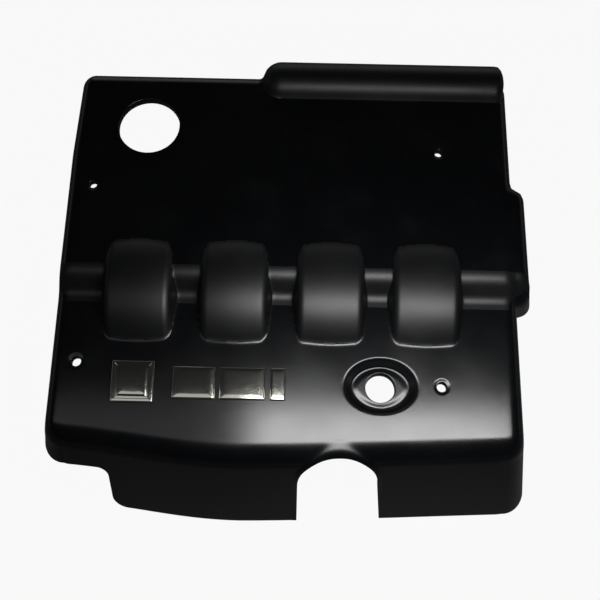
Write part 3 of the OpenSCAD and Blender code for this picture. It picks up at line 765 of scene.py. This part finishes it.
shell.data.materials.clear()
shell.data.materials.append(moulded_nylon("moulded_black_nylon", 0.20, 0.27, GRAIN_MM, 0.12))
shell.data.materials.append(moulded_nylon("grained_black_nylon", 0.42, 0.48, GRAIN_MM, 0.3))
NEAR_FORM = 0.6                      # a face this near to a form belongs to it
STEP_MIDDLE, STEP_REACH = 7.0, 16.0  # the coarser band along the step, from its foot
centres = np.array([tuple(f.center) for f in shell.data.polygons]) / MM
forms = [hump(centres, x) for x in HUMP_X] + [bulge(centres)]
coarse_grain = np.min([np.abs(form) for form in forms], axis=0) < NEAR_FORM
coarse_grain |= (np.abs(centres[:, 1] - STEP_Y - STEP_MIDDLE) < STEP_REACH) & (centres[:, 2] > FRONT_Z - 1)
shell.data.polygons.foreach_set("material_index", coarse_grain.astype(np.int32))
print("faces with the coarser grain:", int(coarse_grain.sum()))

# %% [markdown]
# ### Chrome-plated ABS
#
# The trim is ABS with a bright nickel and chrome coat. It mirrors what stands
# over it, and the thin coat on a moulding is never quite flat, so the picture in
# it wavers a little.

# %% Plated trim
chrome, tree = new_material("chrome_plated_abs")
place = add_node(tree, "ShaderNodeTexCoord").outputs["Object"]
WAVE_MM = 9.0
wave = add_node(tree, "ShaderNodeTexNoise", [("Vector", place)], Scale=1 / (WAVE_MM * MM), Detail=2.0)
bump = add_node(tree, "ShaderNodeBump", [("Height", wave.outputs["Fac"])], Strength=0.10, Distance=0.0008)
surface = add_node(tree, "ShaderNodeBsdfPrincipled", [("Normal", bump.outputs["Normal"])], Metallic=1.0,
                   Roughness=0.12)
surface.inputs["Base Color"].default_value = srgb("#c9c8bf")
add_node(tree, "ShaderNodeOutputMaterial", [("Surface", surface.outputs["BSDF"])])
for piece in [badge] + blocks:
    piece.data.materials.clear()
    piece.data.materials.append(chrome)
print(chrome.name, "on", 1 + len(blocks), "pieces")

# %% [markdown]
# ## Stage, light and camera
#
# A catalogue picture on white. Black gloss shows only what it mirrors, so the
# lamps are chosen for their reflections: a strip close over the front plate, a weak
# one to its left, and one far behind that draws the rear edges. The white of the
# floor is its own colour, seen by the camera and faintly by mirrors, so that no lamp
# has to burn it out.

# %% White floor
bpy.ops.mesh.primitive_plane_add(size=8.0, location=(0, 0, 0))
floor = bpy.context.object
floor.name = "studio_floor"
paper, tree = new_material("white_paper")
path = add_node(tree, "ShaderNodeLightPath")
WHITE_SEEN, WHITE_MIRRORED = 0.94, 0.03
mirrored = add_node(tree, "ShaderNodeMath", [(0, path.outputs["Is Glossy Ray"]),
                                             (1, path.outputs["Is Transmission Ray"])], operation="MAXIMUM")
mirrored = add_node(tree, "ShaderNodeMath", [(0, mirrored.outputs["Value"])], operation="MULTIPLY")
mirrored.inputs[1].default_value = WHITE_MIRRORED
seen = add_node(tree, "ShaderNodeMath", [(0, path.outputs["Is Camera Ray"])], operation="MULTIPLY")
seen.inputs[1].default_value = WHITE_SEEN
share = add_node(tree, "ShaderNodeMath", [(0, seen.outputs["Value"]), (1, mirrored.outputs["Value"])],
                 operation="MAXIMUM")
lit = add_node(tree, "ShaderNodeBsdfDiffuse")
lit.inputs["Color"].default_value = srgb("#6c6c6c")
white = add_node(tree, "ShaderNodeEmission", Strength=1.0)
blend = add_node(tree, "ShaderNodeMixShader", [("Fac", share.outputs["Value"])])
tree.links.new(blend.inputs[1], lit.outputs["BSDF"])
tree.links.new(blend.inputs[2], white.outputs["Emission"])
add_node(tree, "ShaderNodeOutputMaterial", [("Surface", blend.outputs["Shader"])])
floor.data.materials.append(paper)
print("floor", tuple(round(d, 2) for d in floor.dimensions), "m")


# %% Lamps
def soft_lamp(name, place, target, size, power):
    data = bpy.data.lights.new(name, "AREA")
    data.shape, data.size, data.size_y, data.energy = "RECTANGLE", size[0], size[1], power
    lamp = bpy.data.objects.new(name, data)
    lamp.location = place
    lamp.rotation_euler = (Vector(target) - Vector(place)).to_track_quat("-Z", "Y").to_euler()
    bpy.context.scene.collection.objects.link(lamp)
    return lamp


LAMP_Y, LAMP_Z = -0.131, 0.33   # metres: over the front edge of the front plate
strip = soft_lamp("strip", (0.105, LAMP_Y, LAMP_Z), (0.105, LAMP_Y, 0.0), (0.31, 0.072), 1.0)
fill = soft_lamp("fill", (-0.25, LAMP_Y, LAMP_Z), (-0.25, LAMP_Y, 0.0), (0.40, 0.08), 0.06)
rear = soft_lamp("rear", (0.0, 1.7, 0.62), (0.0, 0.0, 0.1), (1.8, 0.9), 2.0)
for lamp in (strip, fill, rear):
    lamp.visible_camera = False
print("lamps:", [(lamp.name, lamp.data.energy) for lamp in (strip, fill, rear)])

# %% [markdown]
# The sky is nearly black overhead, which keeps the plates deep, and a little paler
# near the horizon, most of all behind, so that the edges stand out from every side.
# The camera itself sees it white.

# %% Sky
SKY_DIM, BAND_FRONT, BAND_BEHIND, BAND_TOP = 0.02, 0.06, 0.3, 0.3
sky = bpy.data.worlds.new("sky")
bpy.context.scene.world = sky
sky.use_nodes = True
tree = sky.node_tree
tree.nodes.clear()
direction_of = add_node(tree, "ShaderNodeTexCoord").outputs["Generated"]
axes = add_node(tree, "ShaderNodeSeparateXYZ", [("Vector", direction_of)])
low = add_node(tree, "ShaderNodeMapRange", [("Value", axes.outputs["Z"])], interpolation_type="SMOOTHSTEP",
               From_Min=0.0, From_Max=BAND_TOP, To_Min=1.0, To_Max=0.0)
behind = add_node(tree, "ShaderNodeMapRange", [("Value", axes.outputs["Y"])], From_Min=-0.3, From_Max=0.3,
                  To_Min=BAND_FRONT, To_Max=BAND_BEHIND)
band = add_node(tree, "ShaderNodeMath", [(0, low.outputs["Result"]), (1, behind.outputs["Result"])],
                operation="MULTIPLY")
band = add_node(tree, "ShaderNodeMath", [(0, band.outputs["Value"])], operation="ADD")
band.inputs[1].default_value = SKY_DIM
dim = add_node(tree, "ShaderNodeBackground", [("Strength", band.outputs["Value"])])
dim.inputs["Color"].default_value = srgb("#e6e9ee")
pale = add_node(tree, "ShaderNodeBackground")
pale.inputs["Strength"].default_value = WHITE_SEEN
pale.inputs["Color"].default_value = srgb("#ffffff")
blend = add_node(tree, "ShaderNodeMixShader",
                 [("Fac", add_node(tree, "ShaderNodeLightPath").outputs["Is Camera Ray"])])
tree.links.new(blend.inputs[1], dim.outputs["Background"])
tree.links.new(blend.inputs[2], pale.outputs["Background"])
add_node(tree, "ShaderNodeOutputWorld", [("Surface", blend.outputs["Shader"])])
print("sky from", SKY_DIM, "overhead to", SKY_DIM + BAND_BEHIND, "behind")

# %% [markdown]
# The camera looks down at 70 degrees from the front, with a slight turn about
# its own axis, from 0.9 m away, through a lens of 57 mm on a 36 mm sensor.

# %% Camera
ELEVATION, ROLL, DISTANCE, SENSOR, LENS = math.radians(70.0), math.radians(1.2), 0.9, 36.0, 57.0
LOOK_AT = Vector((4.5, -30.0, 102.0)) * MM
data = bpy.data.cameras.new("camera")
data.sensor_width, data.lens = SENSOR, LENS
camera = bpy.data.objects.new("camera", data)
bpy.context.scene.collection.objects.link(camera)
back = Vector((0, -math.cos(ELEVATION), math.sin(ELEVATION)))
side, up = Vector((1, 0, 0)), Vector((0, math.sin(ELEVATION), math.cos(ELEVATION)))
right = math.cos(ROLL) * side + math.sin(ROLL) * up
top = math.cos(ROLL) * up - math.sin(ROLL) * side
turn = Matrix((right, top, back)).transposed().to_4x4()
camera.matrix_world = Matrix.Translation(LOOK_AT + DISTANCE * back) @ turn
bpy.context.scene.camera = camera
bpy.context.scene.view_settings.view_transform = "Standard"
print("camera at", tuple(round(c, 3) for c in camera.location))
